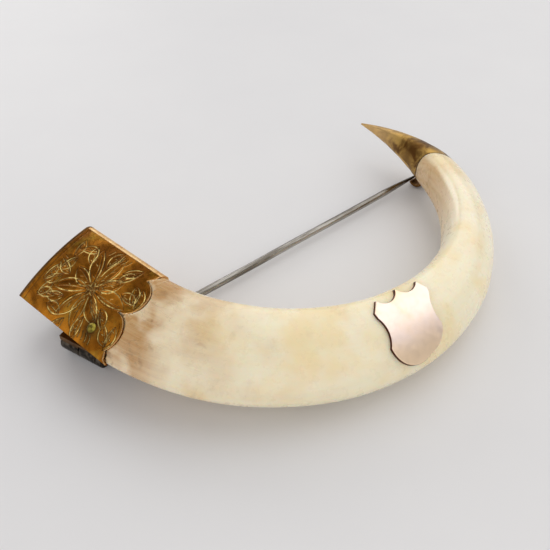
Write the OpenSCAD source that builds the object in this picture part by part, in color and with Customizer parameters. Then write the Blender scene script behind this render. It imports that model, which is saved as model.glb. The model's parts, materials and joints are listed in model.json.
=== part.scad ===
// Tusk brooch: a crescent of boar's tusk with an engraved cap on its root, a plain cap on its
// point, a shield cartouche on its front, and a hinged steel pin with a C-catch behind it.
// It lies on its back: +Z is the front, X runs along the pin, and Z = 0 is the table.
// All sizes are in millimetres.

/* [Crescent] */
// Radius of the tusk's centre line, seen from the front
crescent_r = 28.55; // [24:0.05:36]
// Mean width of the tusk between its two ridges
tusk_w = 8.3; // [6.5:0.1:10.5]
// How far the ridge circles are apart, which makes the root wider than the tip
taper_shift = 3.5; // [1:0.1:4.2]
// Direction of the side where the tusk is narrowest
narrow_turn = 344.3; // [330:0.1:360]
// Direction in which the tusk leaves the root cap
root_turn = 196.5; // [185:0.5:210]
// Direction in which the tusk enters the tip cap
tip_turn = 343.5; // [335:0.5:355]
// Direction of the sharp point
point_turn = 376; // [366:0.5:385]

/* [Tusk] */
// Height of the inner ridge at the root
root_top_z = 11.4; // [9.5:0.1:14]
// Height of the inner ridge at the tip cap
tip_top_z = 8.5; // [7.5:0.1:12]
// Height of the outer ridge at the root
root_edge_z = 6.8; // [5.5:0.1:8.5]
// Height of the outer ridge at the tip cap
tip_edge_z = 5; // [4.6:0.1:7.5]
// How far the outer ridge dips half way along
edge_dip = 1.7; // [0:0.1:2.4]
// Clearance below the tusk's back at the root
root_lift = 2.9; // [2.7:0.1:3.6]
// Clearance below the tusk's back at the tip cap
tip_lift = 2.6; // [2.4:0.1:3.4]
// Swell of the inner wall below its ridge
belly = 1.6; // [0.4:0.1:2.2]
// Height of the point above the table
point_z = 7; // [5:0.1:9]
// Length of the tusk inside the root cap
tenon_len = 9; // [5:0.5:11]
// Mouth radius of the pulp cavity in the root
pulp_r = 2.2; // [1.2:0.1:2.6]
// Depth of the pulp cavity
pulp_len = 13; // [8:0.5:16]

/* [Caps] */
// Length of the root cap along its inner side
cap_len = 12.9; // [11.5:0.1:18]
// How much longer the root cap is on its outer side
cap_skew = 0.85; // [0:0.1:2]
// Angle between the root cap and the square to the pin
cap_lean = 10; // [4:0.5:16]
// Thickness of the cap sheet
sheet = 0.4; // [0.3:0.05:0.5]
// Bow of the engraved face across its width
face_bow = 0.65; // [0.3:0.05:1.2]
// Radius of the shoulder between the face and the inner side
shoulder_r = 0.9; // [0.6:0.05:1.2]
// Radius of each lobe of the scalloped rim
lobe_r = 2.22; // [2:0.02:2.3]
// Clearance between the cap sheet and what it holds
cap_fit = 0.1; // [0.05:0.01:0.15]
// Radius of the domed rivet head
rivet_head_r = 0.6; // [0.5:0.05:0.8]
// Radius of the rivet shank
rivet_r = 0.35; // [0.25:0.05:0.4]
// Length of the rivet shank
rivet_len = 2.6; // [1.8:0.1:3]

/* [Shield] */
// Direction of the shield on the crescent
shield_turn = 263.4; // [245:0.5:285]
// Place of the shield's middle between the ridges, 0 at the inner one and 1 at the outer one
shield_out = 0.65; // [0.45:0.01:0.75]
// Width across the shield's ears
shield_w = 8.1; // [7:0.1:10]
// Length from the top cusp to the bottom point
shield_len = 8.9; // [8:0.1:12]
// How far the shield leans from the crescent's radius
shield_lean = 6.5; // [-10:0.5:10]
// Thickness of the shield plate
shield_t = 0.6; // [0.4:0.05:0.8]
// Radius to which the shield is bent
shield_bend = 9.5; // [8:0.5:14]
// Radius of the two pegs that hold the shield
peg_r = 0.45; // [0.3:0.05:0.6]
// Length of each peg behind the plate
peg_len = 2.4; // [1.5:0.1:3]

/* [Pin and hinge] */
// Distance from the crescent's centre line down to the pin
pin_drop = 3.7; // [1:0.05:6]
// Height of the pin's axis above the table
pin_z = 1.35; // [1.25:0.05:1.4]
// Radius of the steel pin wire
pin_r = 0.52; // [0.4:0.02:0.55]
// Length of the sharpened end
pin_taper = 9; // [5:0.5:14]
// Length of pin beyond the middle of the catch
pin_over = 1.5; // [1.5:0.1:2.5]
// Outer radius of the hinge barrel
barrel_r = 1.25; // [1.1:0.05:1.25]
// Lean of the hinge axis from the square to the pin
hinge_lean = 20; // [4:0.5:24]
// Length of the outer knuckle nearer the middle of the crescent
near_knuckle_len = 0.8; // [0.8:0.1:2]
// Length of the outer knuckle nearer the cap's end
far_knuckle_len = 2.9; // [1.4:0.1:3]
// Length of the pin's own knuckle
pin_knuckle_len = 2.6; // [1.8:0.1:3]
// Distance from the pin to the middle of its knuckle
stem_shift = 0.1; // [0:0.05:0.4]
// Side gap between neighbouring knuckles
knuckle_gap = 0.1; // [0.08:0.01:0.2]
// Radius of the hinge rivet
hinge_rivet_r = 0.32; // [0.25:0.01:0.4]
// Radial clearance of the rivet in the outer knuckles
rivet_fit = 0.02; // [0.01:0.01:0.05]
// Radial clearance of the rivet in the pin's knuckle
sway_fit = 0.08; // [0.07:0.01:0.1]
// Distance from the cap's outer side in to the hinge axis
hinge_inset = 2.55; // [1.8:0.05:4]

/* [Catch] */
// Outer radius of the catch's curl
catch_r = 1.5; // [1.4:0.05:1.5]
// Thickness of the catch strip
catch_t = 0.42; // [0.3:0.02:0.45]
// Width of the catch strip along the pin
catch_w = 2.6; // [2:0.1:2.8]
// Distance of the catch's middle past the rim of the tip cap, along X
catch_in = 2.7; // [1.2:0.1:3]
// How far the curl's centre lies from the pin
catch_set = 0.35; // [0.2:0.05:0.45]

/* [Hidden] */
$fn = 48;
eps = 0.01;

// --- Plan of the crescent, measured from its own centre ---
inner_r = crescent_r - tusk_w / 2;
outer_r = crescent_r + tusk_w / 2;
shift = taper_shift / 2 * [cos(narrow_turn), sin(narrow_turn)];
function dir(a) = [cos(a), sin(a)];
// Distance from the crescent's centre to a circle of radius r whose centre is at c
function reach(a, c, r) = c * dir(a) + sqrt(r * r - c * c + pow(c * dir(a), 2));
function ridge_in(a) = reach(a, shift, inner_r);
function ridge_out(a) = reach(a, -shift, outer_r);
function progress(a) = min(1, max(0, (a - root_turn) / (tip_turn - root_turn)));
function mix(p, q, t) = p + (q - p) * t;

// --- Cross-section: a rounded triangle whose four quarters are superellipses ---
ridge_share = 0.12; // the highest line's place between the two ridges
root_belly = 0.45;
quarters_root = [1.3, 2.6, 2.4, 1.7]; // outer top, inner top, inner back, outer back
quarters_tip = [1.7, 2.3, 2.2, 1.9];
function top_z(t) = mix(root_top_z, tip_top_z, t);
function edge_z(t) = mix(root_edge_z, tip_edge_z, t) - edge_dip * sin(180 * t);
function back_z(t) = mix(root_lift, tip_lift, t) * (1 - sin(180 * t));
function swell(t) = mix(root_belly, belly, 1 - pow(1 - t, 3));
// [centre radius, centre height, inner reach, outer reach, reach up, reach down]
function frame_at(a) =
  let (t = progress(a), ri = ridge_in(a), w = ridge_out(a) - ri, c = ri + ridge_share * w)
  [c, edge_z(t), c - ri + swell(t), ridge_out(a) - c, top_z(t) - edge_z(t), edge_z(t) - back_z(t)];
function power(v, p) = sign(v) * pow(abs(v), 2 / p);
function section(f, q, inset) = [
  for (i = [0 : ring_n - 1])
    let (
      k = 360 * (i + 0.5) / ring_n,
      p = q[floor(k / 90)],
      x = power(cos(k), p) * ((cos(k) > 0 ? f[3] : f[2]) - inset),
      z = power(sin(k), p) * ((sin(k) > 0 ? f[4] : f[5]) - inset)
    ) [x, z]
];
ring_n = 40;
// One ring of points in the upright plane through the crescent's centre at angle a
function ring(a, f, q, inset) = [
  for (s = section(f, q, inset)) [(f[0] + s[0]) * cos(a), (f[0] + s[0]) * sin(a), f[1] + s[1]]
];
function quarters(t) = [for (i = [0 : 3]) mix(quarters_root[i], quarters_tip[i], min(1, 2 * t))];

// --- Past the tip cap's rim the section shrinks towards the point ---
point_r = ridge_in(point_turn);
point_size = 0.04;
point_curve = 1.2;
function point_frame(a) =
  let (u = (a - tip_turn) / (point_turn - tip_turn), f = frame_at(tip_turn),
       g = 1 - (1 - point_size) * pow(max(0, u), point_curve))
  [mix(f[0], point_r, u), mix(f[1], point_z, u), f[2] * g, f[3] * g, f[4] * g, f[5] * g];
function tip_frame(a) = a < tip_turn ? frame_at(a) : point_frame(a);

// --- Root cap's own frame: x outwards across the tusk, y away from the tusk ---
cap_inside = 0.2; // the cap starts this far inside the tusk's inner ridge
cap_at = (ridge_in(root_turn) - cap_inside) * dir(root_turn);
cap_w = (ridge_out(root_turn) - ridge_in(root_turn)) + sheet;
cap_face_top = root_top_z;
cap_face_low = root_edge_z + 0.1;
cap_back_z = root_lift;
back_flat = 0.73; // share of the back that is flat, before it rises to the outer edge
face_from = [shoulder_r, cap_face_top];
face_to = [cap_w, cap_face_low];
face_chord = norm(face_to - face_from);
face_r = face_chord * face_chord / (8 * face_bow) + face_bow / 2;
face_along = (face_to - face_from) / face_chord;
face_up = [-face_along[1], face_along[0]];
face_c = (face_from + face_to) / 2 - face_up * (face_r - face_bow);
// How far along its own axis the cap ends at x
function end_y(x) = cap_len + cap_skew * x / cap_w;
// Place and slope of the engraved face at x
function face_angle(x) = asin((x - face_c[0]) / face_r);
function face_z(x) = face_c[1] + face_r * cos(face_angle(x));

// --- The pin, the hinge and the catch ---
pin_y = -pin_drop;
hinge_in_cap = cap_w - hinge_inset;
hinge_along = (pin_y - cap_at[1] + hinge_in_cap * sin(cap_lean)) / cos(cap_lean);
hinge_x = cap_at[0] - hinge_in_cap * cos(cap_lean) - hinge_along * sin(cap_lean);
pin_knuckle_from = stem_shift - pin_knuckle_len / 2;
far_knuckle_from = stem_shift + pin_knuckle_len / 2 + knuckle_gap;
near_knuckle_from = pin_knuckle_from - knuckle_gap - near_knuckle_len;
barrel_len = near_knuckle_len + pin_knuckle_len + far_knuckle_len + 2 * knuckle_gap;
// Start and length of each outer knuckle along the hinge axis
outer_knuckles = [[near_knuckle_from, near_knuckle_len], [far_knuckle_from, far_knuckle_len]];
catch_y = pin_y - catch_set;
catch_z = catch_r;
catch_x = ridge_in(tip_turn) * cos(tip_turn) + catch_in;
pin_end_x = catch_x + pin_over;

// --- Place on the table: the whole brooch's box is centred on X and Y ---
edge_step = 0.5;
function outer_edge(a) = let (f = tip_frame(a)) (f[0] + f[3]) * dir(a);
cap_end_far = end_y(cap_w) + sheet;
cap_end_near = end_y(0) + sheet;
box_left = cap_at[0] - cap_w * cos(cap_lean) - cap_end_far * sin(cap_lean);
box_right = max([for (a = [tip_turn : edge_step : point_turn]) outer_edge(a)[0]]);
box_top = max(cap_at[1] - cap_w * sin(cap_lean) + cap_end_far * cos(cap_lean),
  cap_at[1] + cap_end_near * cos(cap_lean), point_r * sin(point_turn));
box_bottom = min([for (a = [225 : edge_step : 315]) outer_edge(a)[1]]);
centre = -[box_left + box_right, box_top + box_bottom] / 2;

// Joins rings of equal length into one closed skin, with flat ends
module skin(rings) {
  n = len(rings[0]);
  m = len(rings);
  points = [for (r = rings, p = r) p];
  sides = [
    for (j = [0 : m - 2], i = [0 : n - 1])
      let (a = j * n + i, b = j * n + (i + 1) % n)
      each [[a, b, b + n], [a, b + n, a + n]]
  ];
  first = [for (i = [n - 1 : -1 : 0]) i];
  last = [for (i = [0 : n - 1]) (m - 1) * n + i];
  polyhedron(points = points, faces = concat([first, last], sides), convexity = 6);
}

module on_crescent() {
  translate([centre[0], centre[1], 0]) children();
}

module on_cap() {
  on_crescent()
    translate([cap_at[0], cap_at[1], 0])
      rotate([0, 0, cap_lean])
        mirror([1, 0, 0])
          children();
}

// A profile in x and z, drawn along y from y0 to y1
module along_cap(y0, y1) {
  translate([0, y1, 0]) rotate([90, 0, 0]) linear_extrude(y1 - y0) children();
}

// --- Tusk ---
tusk_steps = 44;
core_steps = 9;

// The whole section, from inside the root cap's rim to inside the tip cap's rim
module tusk_full() {
  turns = [for (i = [0 : tusk_steps]) mix(root_turn - 8, tip_turn + 3, i / tusk_steps)];
  skin([for (a = turns) ring(a, tip_frame(a), quarters(progress(a)), 0)]);
}

// The thinner end that the tip cap slides over
module tusk_core() {
  turns = [for (i = [0 : core_steps]) mix(tip_turn - 9, point_turn - 7, i / core_steps)];
  skin([for (a = turns) ring(a, tip_frame(a), quarters_tip, sheet + cap_fit)]);
}

// The filed root inside the root cap; it starts just inside the full section
module tenon() {
  on_cap()
    intersection() {
      along_cap(-cap_w, tenon_len) cap_cavity_profile(cap_fit);
      translate([0, -0.3, 0]) linear_extrude(root_top_z + 2) cap_plan();
    }
}

module rivet_axis() {
  on_cap()
    translate([rivet_x, rivet_y, face_z(rivet_x)])
      rotate([0, face_angle(rivet_x), 0])
        children();
}
rivet_x = cap_w - 1.95;
rivet_y = 2.06;

module rivet_hole() {
  rivet_axis() translate([0, 0, -rivet_len]) cylinder(h = rivet_len + 2, r = rivet_r);
}

module pulp_cavity() {
  on_cap()
    translate([cap_w * 0.42, tenon_len + eps, (root_top_z + root_lift) * 0.48])
      rotate([90, 0, -8])
        cylinder(h = pulp_len, r1 = pulp_r, r2 = 0.3);
}

module tusk() {
  color("ivory")
    difference() {
      union() {
        difference() {
          on_crescent() tusk_full();
          root_cap_room();
          tip_cap_room();
        }
        on_crescent() tusk_core();
        tenon();
      }
      pulp_cavity();
      rivet_hole();
      shield_seat();
      on_shield()
        shield_peg_places()
          translate([0, 0, -shield_t - peg_len]) cylinder(h = peg_len + 2, r = peg_r);
    }
}

// --- Root cap ---
module face_disc(r) {
  translate(face_c) circle(r = r, $fn = 180);
}

// Everything that the cap's outside encloses, as a profile across it
module cap_outline() {
  intersection() {
    face_disc(face_r);
    union() {
      polygon([
        [shoulder_r, cap_back_z], [cap_w * back_flat, cap_back_z], [cap_w, cap_face_low],
        [cap_w, root_top_z + 1], [shoulder_r, root_top_z + 1]
      ]);
      translate([0, cap_back_z]) square([shoulder_r + eps, cap_face_top - shoulder_r - cap_back_z]);
      translate([shoulder_r, cap_face_top - shoulder_r]) circle(r = shoulder_r);
    }
  }
}

// The space inside the sheet, less a clearance
module cap_cavity_profile(gap) {
  wall = sheet + gap;
  rise = atan2(cap_face_low - cap_back_z, cap_w * (1 - back_flat));
  intersection() {
    face_disc(face_r - wall);
    polygon([
      [wall, cap_back_z + wall], [cap_w * back_flat - wall * tan(rise / 2), cap_back_z + wall],
      [cap_w - wall / sin(rise), cap_face_low], [cap_w - wall / sin(rise), root_top_z],
      [shoulder_r, root_top_z], [shoulder_r, cap_face_top - wall],
      [wall, cap_face_top - shoulder_r]
    ]);
  }
}

// Plan of the cap with its scalloped rim: two lobes, and a horn at each side.
// A place on the rim is its share of the cap's width and its y.
lobes = [[0.386, 0.35], [0.776, 0.2]];
valleys = [[0.206, 0.3], [0.583, 0.3], [0.86, 0]];
near_horn = [[0, -0.95], [0.12, -0.5]];
far_horn = [[0.91, -1.6], [0.97, -1.95], [1, -2.85]];
function on_rim(places) = [for (p = places) [p[0] * cap_w, p[1]]];

module cap_plan() {
  polygon(concat(on_rim(near_horn), on_rim(valleys), on_rim(far_horn),
    [[cap_w, end_y(cap_w)], [0, end_y(0)]]));
  for (p = on_rim(lobes)) translate(p) circle(r = lobe_r);
}

module cap_plan_solid() {
  linear_extrude(root_top_z + 2) cap_plan();
}

// The room that the cap takes from the tusk's full section, with what lies beyond its sides
module root_cap_room() {
  side = 4;
  on_cap()
    translate([0, 0, -1])
      linear_extrude(root_top_z + 4) {
        cap_plan();
        translate([-side, near_horn[0][1]]) square([side, cap_len]);
        translate([cap_w, far_horn[2][1]]) square([side, cap_len]);
        translate([0, tenon_len / 2]) square([cap_w, cap_len]);
      }
}

module root_filler() {
  color("saddlebrown")
    on_cap() {
      translate([0, eps, 0])
        along_cap(tenon_len + cap_fit, cap_len - cap_fit) cap_cavity_profile(cap_fit);
    }
}

module cap_front_plate() {
  color("goldenrod")
    difference() {
      on_cap()
        intersection() {
          cap_plan_solid();
          along_cap(-cap_w, cap_len + 3)
            difference() {
              face_disc(face_r);
              face_disc(face_r - sheet);
              translate([-60, -60]) square([60 + shoulder_r, 120]);
              translate([-60, -60]) square([120, 60]);
            }
        }
      rivet_hole();
    }
}

module cap_side_wall() {
  color("peru")
    on_cap()
      intersection() {
        cap_plan_solid();
        along_cap(-cap_w, cap_len + 3) {
          translate([0, cap_back_z]) square([sheet, cap_face_top - shoulder_r - cap_back_z]);
          intersection() {
            translate([shoulder_r, cap_face_top - shoulder_r])
              difference() {
                circle(r = shoulder_r);
                circle(r = shoulder_r - sheet);
              }
            translate([0, cap_face_top - shoulder_r - eps]) square([shoulder_r, shoulder_r + eps]);
          }
        }
      }
}

module cap_back_plate() {
  color("darkgoldenrod")
    on_cap()
      intersection() {
        cap_plan_solid();
        along_cap(-cap_w, cap_len + 3)
          intersection() {
            face_disc(face_r - sheet);
            difference() {
              polygon([
                [sheet, cap_back_z], [cap_w * back_flat, cap_back_z], [cap_w, cap_face_low],
                [cap_w, cap_face_low + 1], [sheet, root_top_z]
              ]);
              translate([sheet, 0]) cap_cavity_mouth();
            }
          }
      }
}

// The cavity's back corner, opened towards the face, so that only the bent sheet is left
module cap_cavity_mouth() {
  rise = atan2(cap_face_low - cap_back_z, cap_w * (1 - back_flat));
  polygon([
    [-sheet - 1, cap_back_z + sheet],
    [cap_w * back_flat - sheet - sheet * tan(rise / 2), cap_back_z + sheet],
    [cap_w - sheet - sheet / sin(rise), cap_face_low],
    [cap_w - sheet - sheet / sin(rise), root_top_z + 2], [-sheet - 1, root_top_z + 2]
  ]);
}

module cap_end_plate() {
  color("goldenrod")
    on_cap()
      intersection() {
        along_cap(cap_len - 1, cap_len + cap_skew + 2) cap_outline();
        linear_extrude(root_top_z + 2)
          polygon([
            [0, end_y(0)], [cap_w, end_y(cap_w)],
            [cap_w, end_y(cap_w) + sheet], [0, end_y(0) + sheet]
          ]);
      }
}

module cap_rivet() {
  dome = 0.35;
  ball_r = (rivet_head_r * rivet_head_r + dome * dome) / (2 * dome);
  color("darkkhaki")
    rivet_axis() {
      translate([0, 0, -rivet_len + eps]) cylinder(h = rivet_len, r = rivet_r);
      intersection() {
        translate([0, 0, dome - ball_r]) sphere(r = ball_r);
        cylinder(h = 1, r = rivet_head_r);
      }
    }
}

// --- Tip cap: a shell that follows the tusk's section down to the point ---
tip_steps = 14;
rim_lean = 20; // the rim leans back along the outer ridge

module tip_skin(inset, last) {
  turns = [for (i = [0 : tip_steps]) mix(tip_turn - 8, last, i / tip_steps)];
  skin([for (a = turns) ring(a, tip_frame(a), quarters_tip, inset)]);
}

// Everything past the tip cap's rim
module tip_cap_room() {
  on_crescent()
    rotate([0, 0, tip_turn])
      translate([frame_at(tip_turn)[0], 0, 0])
        rotate([0, 0, -rim_lean])
          translate([-12, 0, -1])
            cube([24, 24, 20]);
}

module tip_cap() {
  color("darkgoldenrod")
    intersection() {
      difference() {
        on_crescent() tip_skin(0, point_turn);
        on_crescent() tip_skin(sheet, point_turn - 5);
      }
      tip_cap_room();
    }
}

// --- Shield cartouche, bent over the tusk's front face ---
shield_reach = 3.4; // half the span over which the face's slope is taken

// Height of the tusk's front face at direction a and distance r
function front_z(a, r) =
  let (f = frame_at(a), p = quarters(progress(a))[0], x = min(1, (r - f[0]) / f[3]))
  f[1] + f[4] * pow(1 - pow(x, p), 1 / p);
shield_r = mix(ridge_in(shield_turn), ridge_out(shield_turn), shield_out);
shield_low = front_z(shield_turn, shield_r + shield_reach * 0.6);
shield_high = front_z(shield_turn, shield_r - shield_reach);
shield_tilt = atan2(shield_high - shield_low, shield_reach * 1.6);
shield_z = front_z(shield_turn, shield_r) + shield_t * 0.9;

module on_shield() {
  on_crescent()
    rotate([0, 0, shield_turn + 90])
      translate([0, -shield_r, shield_z])
        rotate([shield_tilt, 0, 0])
          children();
}

// Shares of the width and of the length that set each half of the outline
scallop_at = [0.194, 0.585];
scallop_r = 0.213;
waist_at = [0.894, 0.05];
waist_r = 0.488;
bulge_at = [0.056, -0.107];
bulge_r = 0.406;
ear_top = [0.36, 0.485];
ear_side = [0.48, 0.34];
foot = [0.15, -0.44];
hand_cut = 0.05; // the right-hand half is cut this share of the length higher

// A point of the outline on one side, from its shares of the width and the length
function shield_point(side, share, lift) =
  [side * share[0] * shield_w, (share[1] + side * hand_cut * lift) * shield_len];

module shield_outline() {
  rotate(-shield_lean)
    difference() {
      union() {
        polygon([
          shield_point(-1, ear_top, 1), shield_point(-1, ear_side, 1),
          shield_point(-1, [bulge_r, bulge_at[1]], 0.5), shield_point(-1, foot, 0),
          [0, -shield_len / 2], shield_point(1, foot, 0),
          shield_point(1, [bulge_r, bulge_at[1]], 0.5), shield_point(1, ear_side, 1),
          shield_point(1, ear_top, 1), [0, shield_len / 2]
        ]);
        for (side = [-1, 1])
          translate(shield_point(side, bulge_at, 0.5)) circle(r = bulge_r * shield_w);
      }
      for (side = [-1, 1]) {
        translate(shield_point(side, scallop_at, 0.5)) circle(r = scallop_r * shield_w);
        translate(shield_point(side, waist_at, 1)) circle(r = waist_r * shield_w);
      }
    }
}

module shield_peg_places() {
  for (side = [-1, 1]) translate([side * shield_w * 0.2, 0, 0]) children();
}

// A cylinder that the plate is bent round, its top at the plate's middle
module shield_former(r) {
  translate([0, 0, -shield_bend])
    rotate([0, 90, 0])
      cylinder(h = 3 * shield_w, r = r, center = true, $fn = 120);
}

module shield_plate() {
  color("mistyrose")
    on_shield()
      intersection() {
        translate([0, 0, -4]) linear_extrude(5) shield_outline();
        difference() {
          shield_former(shield_bend);
          shield_former(shield_bend - shield_t);
        }
      }
}

// The tusk is filed down where it would stand up into the plate
module shield_seat() {
  on_shield()
    difference() {
      translate([0, 0, -4]) linear_extrude(6) shield_outline();
      shield_former(shield_bend - shield_t);
    }
}

module shield_pegs() {
  color("rosybrown")
    on_shield()
      intersection() {
        shield_peg_places()
          translate([0, 0, -shield_t - peg_len]) cylinder(h = peg_len + shield_t, r = peg_r);
        shield_former(shield_bend - shield_t);
      }
}

// --- Hinge on the root cap's back ---
hinge_plate_len = 5.5;

// The hinge's own frame: x along the pin, y along the hinge axis, z upwards from the table
module on_hinge() {
  on_crescent()
    translate([hinge_x, pin_y, 0])
      rotate([0, 0, hinge_lean])
        children();
}

// A rod on the hinge axis, from y for a length l
module hinge_rod(y, l, r) {
  translate([0, y, pin_z]) rotate([-90, 0, 0]) cylinder(h = l, r = r);
}

module hinge_base() {
  half_lug = barrel_r * 0.8;
  color("sienna")
    on_hinge()
      difference() {
        union() {
          translate([-half_lug, near_knuckle_from, cap_back_z - sheet])
            cube([hinge_plate_len + half_lug, barrel_len, sheet]);
          for (k = outer_knuckles)
            translate([-half_lug, k[0], pin_z])
              cube([2 * half_lug, k[1], cap_back_z - sheet - pin_z]);
        }
        hinge_rod(near_knuckle_from - 1, barrel_len + 2, barrel_r);
        hinge_rod(pin_knuckle_from - knuckle_gap, pin_knuckle_len + 2 * knuckle_gap,
          barrel_r + 2 * knuckle_gap);
      }
}

module hinge_knuckles() {
  bore = hinge_rivet_r + rivet_fit;
  color("dimgray")
    on_hinge()
      for (k = outer_knuckles)
        difference() {
          hinge_rod(k[0], k[1], barrel_r);
          hinge_rod(k[0] - 1, k[1] + 2, bore);
        }
}

module hinge_rivet() {
  color("gray")
    on_hinge() hinge_rod(near_knuckle_from, barrel_len, hinge_rivet_r);
}

// --- Pin ---
module pin_knuckle() {
  color("darkgray")
    on_hinge()
      difference() {
        hinge_rod(pin_knuckle_from, pin_knuckle_len, barrel_r);
        hinge_rod(pin_knuckle_from - 1, pin_knuckle_len + 2, hinge_rivet_r + sway_fit);
      }
}

module pin_stem() {
  straight = pin_end_x - hinge_x - pin_taper;
  color("silver")
    difference() {
      on_crescent()
        translate([hinge_x, pin_y, pin_z])
          rotate([0, 90, 0]) {
            cylinder(h = straight, r = pin_r);
            translate([0, 0, straight]) cylinder(h = pin_taper, r1 = pin_r, r2 = 0.06);
          }
      on_hinge() hinge_rod(pin_knuckle_from - 1, pin_knuckle_len + 2, barrel_r);
    }
}

// --- Catch under the tip cap ---
saddle_w = 2; // across the pin

module catch_saddle() {
  color("peru")
    difference() {
      on_crescent()
        translate([catch_x - catch_w / 2, catch_y - saddle_w / 2, catch_z + catch_r / 2])
          cube([catch_w, saddle_w, catch_r + 1]);
      catch_curl() circle(r = catch_r);
      on_crescent() tip_skin(0, point_turn);
    }
}

// A profile across the pin, seen from the point and drawn along the catch
module catch_curl() {
  on_crescent()
    translate([catch_x - catch_w / 2, catch_y, catch_z])
      rotate([90, 0, 90])
        linear_extrude(catch_w)
          children();
}

module catch_hook() {
  lip = -45;
  brow = 60;
  color("darkgoldenrod")
    catch_curl()
      difference() {
        circle(r = catch_r);
        circle(r = catch_r - catch_t);
        polygon([[0, 0], 3 * dir(lip), 3 * dir((lip + brow) / 2), 3 * dir(brow)]);
      }
}

tusk();
root_filler();
cap_front_plate();
cap_side_wall();
cap_back_plate();
cap_end_plate();
cap_rivet();
tip_cap();
shield_plate();
shield_pegs();
hinge_base();
hinge_knuckles();
hinge_rivet();
pin_knuckle();
pin_stem();
catch_saddle();
catch_hook();
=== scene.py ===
import json
import math
import bpy
import numpy as np
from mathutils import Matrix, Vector


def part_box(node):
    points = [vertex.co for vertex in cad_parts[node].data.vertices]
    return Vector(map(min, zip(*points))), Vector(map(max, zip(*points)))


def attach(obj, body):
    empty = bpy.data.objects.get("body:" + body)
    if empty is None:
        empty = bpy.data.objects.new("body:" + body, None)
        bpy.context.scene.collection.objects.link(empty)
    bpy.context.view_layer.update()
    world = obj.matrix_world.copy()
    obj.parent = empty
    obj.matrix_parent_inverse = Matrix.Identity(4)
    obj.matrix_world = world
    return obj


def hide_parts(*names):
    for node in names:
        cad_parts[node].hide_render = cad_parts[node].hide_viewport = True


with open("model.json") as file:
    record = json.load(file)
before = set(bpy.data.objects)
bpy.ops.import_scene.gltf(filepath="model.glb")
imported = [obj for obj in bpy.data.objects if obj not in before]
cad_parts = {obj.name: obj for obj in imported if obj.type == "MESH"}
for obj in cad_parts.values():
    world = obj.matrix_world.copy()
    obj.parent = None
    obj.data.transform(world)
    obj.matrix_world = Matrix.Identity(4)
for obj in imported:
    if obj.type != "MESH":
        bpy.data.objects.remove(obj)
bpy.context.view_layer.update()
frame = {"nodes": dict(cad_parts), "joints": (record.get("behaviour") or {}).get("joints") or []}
print("tusk brooch: frame loaded")

join = np.concatenate
# Shapes are worked out in millimetres and put into the meshes in metres.
mm = 0.001

# the crescent, seen from the front, and the tusk's section along it
crescent = {
    "midRadius": 28.55,
    "width": 8.3,
    "taperShift": 3.5,      # distance between the centres of the two ridge circles
    "narrowTurn": 344.3,
    "rootTurn": 196.5,
    "tipTurn": 343.5,
    "pointTurn": 376.0,
    "pinDrop": 3.7,
    "catchIn": 2.7,
}
section = {
    "rootTop": 11.4, "tipTop": 8.5,
    "rootEdge": 6.8, "tipEdge": 5.0, "edgeDip": 1.7,
    "rootLift": 2.9, "tipLift": 2.6,
    "rootBelly": 0.45, "belly": 1.6,
    "ridgeShare": 0.12,
    "pointHeight": 7.0, "pointSize": 0.04, "pointCurve": 1.2,
    "rootPowers": (1.3, 2.6, 2.4, 1.7),   # outer top, inner top, inner back, outer back
    "tipPowers": (1.7, 2.3, 2.2, 1.9),
}


def direction(turn):
    # unit vectors (cosine, sine) of a turn in degrees
    angle = np.radians(turn)
    return np.stack([np.cos(angle), np.sin(angle)], axis=-1)


def reach(turn, centre, radius):
    # distance from the crescent's centre to a circle: c.d + sqrt(r^2 - c^2 + (c.d)^2)
    along = direction(turn) @ centre
    return along + np.sqrt(radius ** 2 - centre @ centre + along ** 2)


rootTurn, tipTurn = crescent["rootTurn"], crescent["tipTurn"]
ridgeShift = crescent["taperShift"] / 2 * direction(crescent["narrowTurn"])


def innerRidge(turn):
    # the inner circle: middle radius less half the width, its centre moved by half the taper
    return reach(turn, ridgeShift, crescent["midRadius"] - crescent["width"] / 2)


def outerRidge(turn):
    # the outer circle: middle radius plus half the width, its centre moved the other way
    return reach(turn, -ridgeShift, crescent["midRadius"] + crescent["width"] / 2)


def blendOf(a, b, share):
    # a plus the share of the way to b
    return a + (b - a) * share


def alongHorn(turn):
    # share of the way from the root's turn to the tip cap's, held between 0 and 1
    return np.clip((turn - rootTurn) / (tipTurn - rootTurn), 0, 1)


def bodySection(turn):
    # ridge distances give the centre, heights blend from root to tip, and the belly swells
    share = alongHorn(turn)
    bow = np.sin(np.pi * share)
    inner, outer = innerRidge(turn), outerRidge(turn)
    centre = inner + section["ridgeShare"] * (outer - inner)
    edge = blendOf(section["rootEdge"], section["tipEdge"], share) - section["edgeDip"] * bow
    top = blendOf(section["rootTop"], section["tipTop"], share)
    back = blendOf(section["rootLift"], section["tipLift"], share) * (1 - bow)
    swell = blendOf(section["rootBelly"], section["belly"], 1 - (1 - share) ** 3)
    return np.stack([centre, edge, centre - inner + swell, outer - centre, top - edge, edge - back], -1)


def sectionAt(turn):
    # past the tip cap's rim the size is 1 - (1 - pointSize) u^pointCurve, and the middle goes to the point
    turn = np.asarray(turn, float)
    body = bodySection(np.minimum(turn, tipTurn))
    share = (turn - tipTurn) / (crescent["pointTurn"] - tipTurn)
    share = np.clip(share, 0, 1)
    size = 1 - (1 - section["pointSize"]) * share ** section["pointCurve"]
    pointRadius = innerRidge(crescent["pointTurn"])
    body[..., 0] = blendOf(body[..., 0], pointRadius, share)
    body[..., 1] = blendOf(body[..., 1], section["pointHeight"], share)
    body[..., 2:] *= size[..., None]
    return body


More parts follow.
